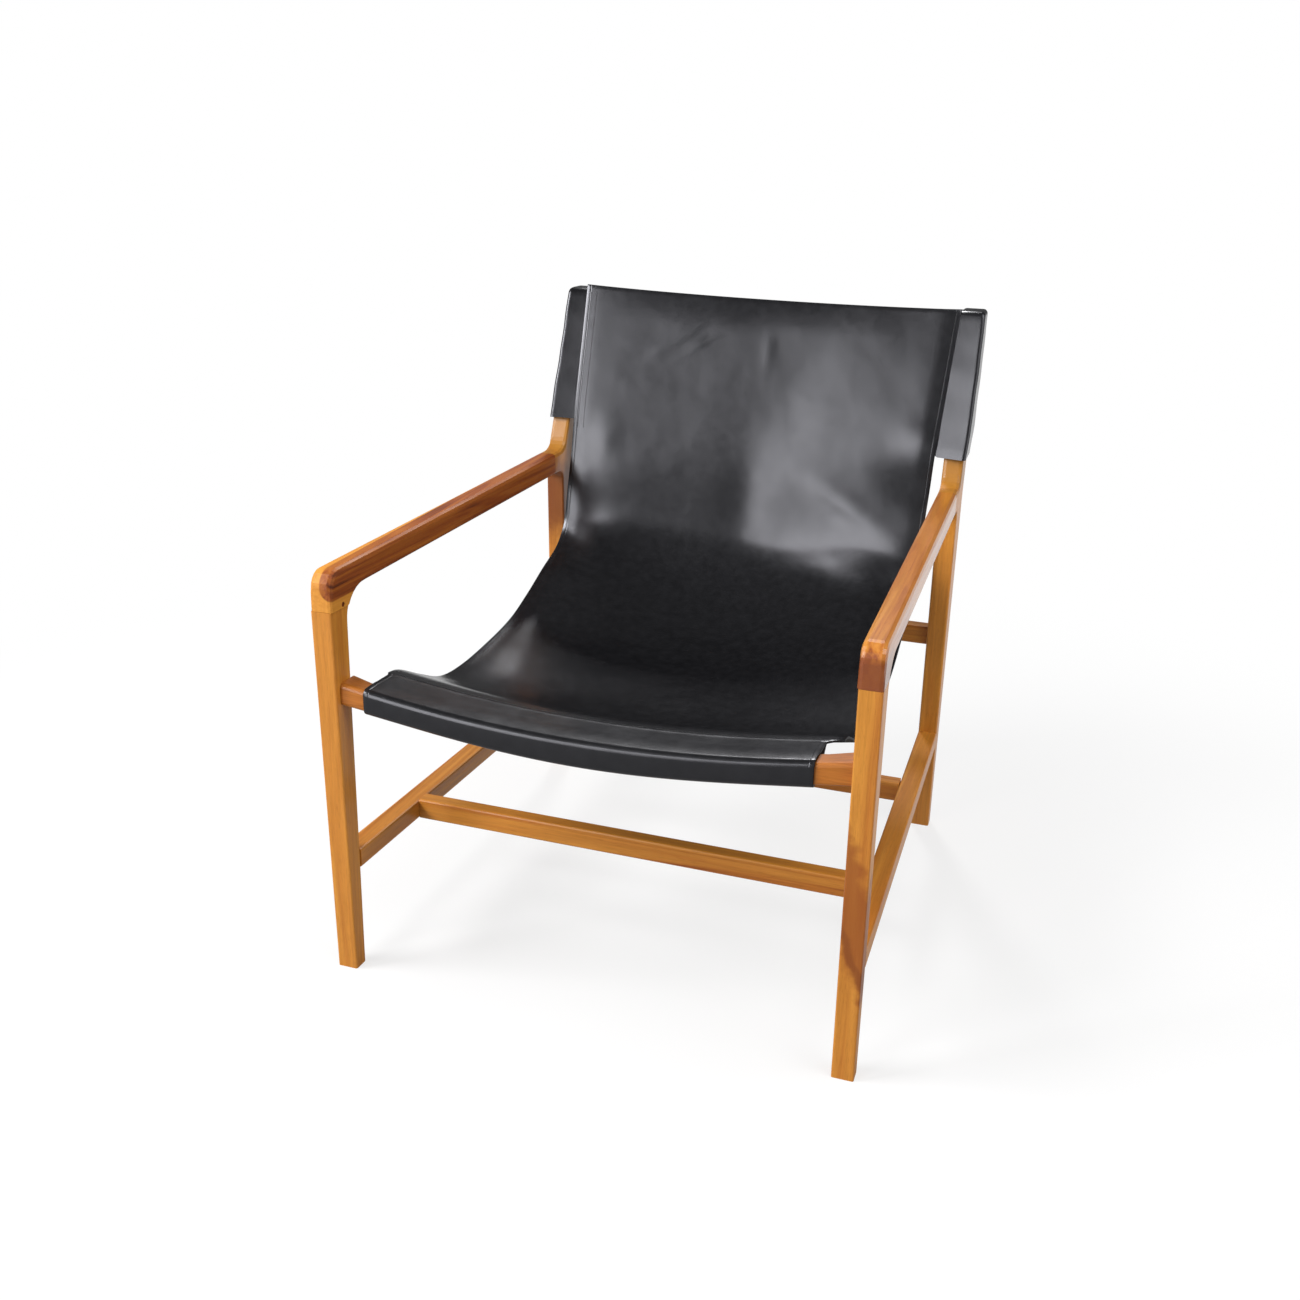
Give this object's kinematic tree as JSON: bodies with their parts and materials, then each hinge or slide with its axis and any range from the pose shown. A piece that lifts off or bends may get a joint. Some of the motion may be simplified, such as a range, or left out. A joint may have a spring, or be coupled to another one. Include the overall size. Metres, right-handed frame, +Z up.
{
  "type": "lounge chair",
  "caption": "Low open armchair with a slim hardwood frame and one black leather sling hung between a bowed front rail and two raked back posts.",
  "frame": {"origin": "on the floor, under the middle of the chair's box", "axes": "+X to the right as seen from the front, +Y to the rear, +Z up; left and right in the names are as seen from the front"},
  "size_m": [0.65, 0.768, 0.7685],
  "materials": {
    "legs": "oiled pale orange hardwood, satin",
    "arms": "oiled red-brown heartwood, satin",
    "pegs": "dark hardwood dowel",
    "hide": "smooth black leather, soft sheen",
    "thread": "black sewing thread"
  },
  "bodies": {
    "root": {"front_leg_left": "legs", "front_leg_right": "legs", "armrest_left": "arms", "armrest_right": "arms", "rear_leg_left": "legs", "rear_leg_right": "legs", "side_stretcher_left": "legs", "side_stretcher_right": "legs", "front_cross_stretcher": "legs", "rear_cross_stretcher": "legs", "rear_rail": "legs", "front_seat_rail": "legs", "arm_peg_left": "pegs", "arm_peg_right": "pegs", "arm_dowel_left_lower": "pegs", "arm_dowel_left_upper": "pegs", "arm_dowel_right_lower": "pegs", "arm_dowel_right_upper": "pegs", "sling": "hide", "back_sleeve_left": "hide", "back_sleeve_right": "hide", "pocket_thread": "thread", "sleeve_thread_left": "thread", "sleeve_thread_right": "thread"}
  },
  "joints": []
}
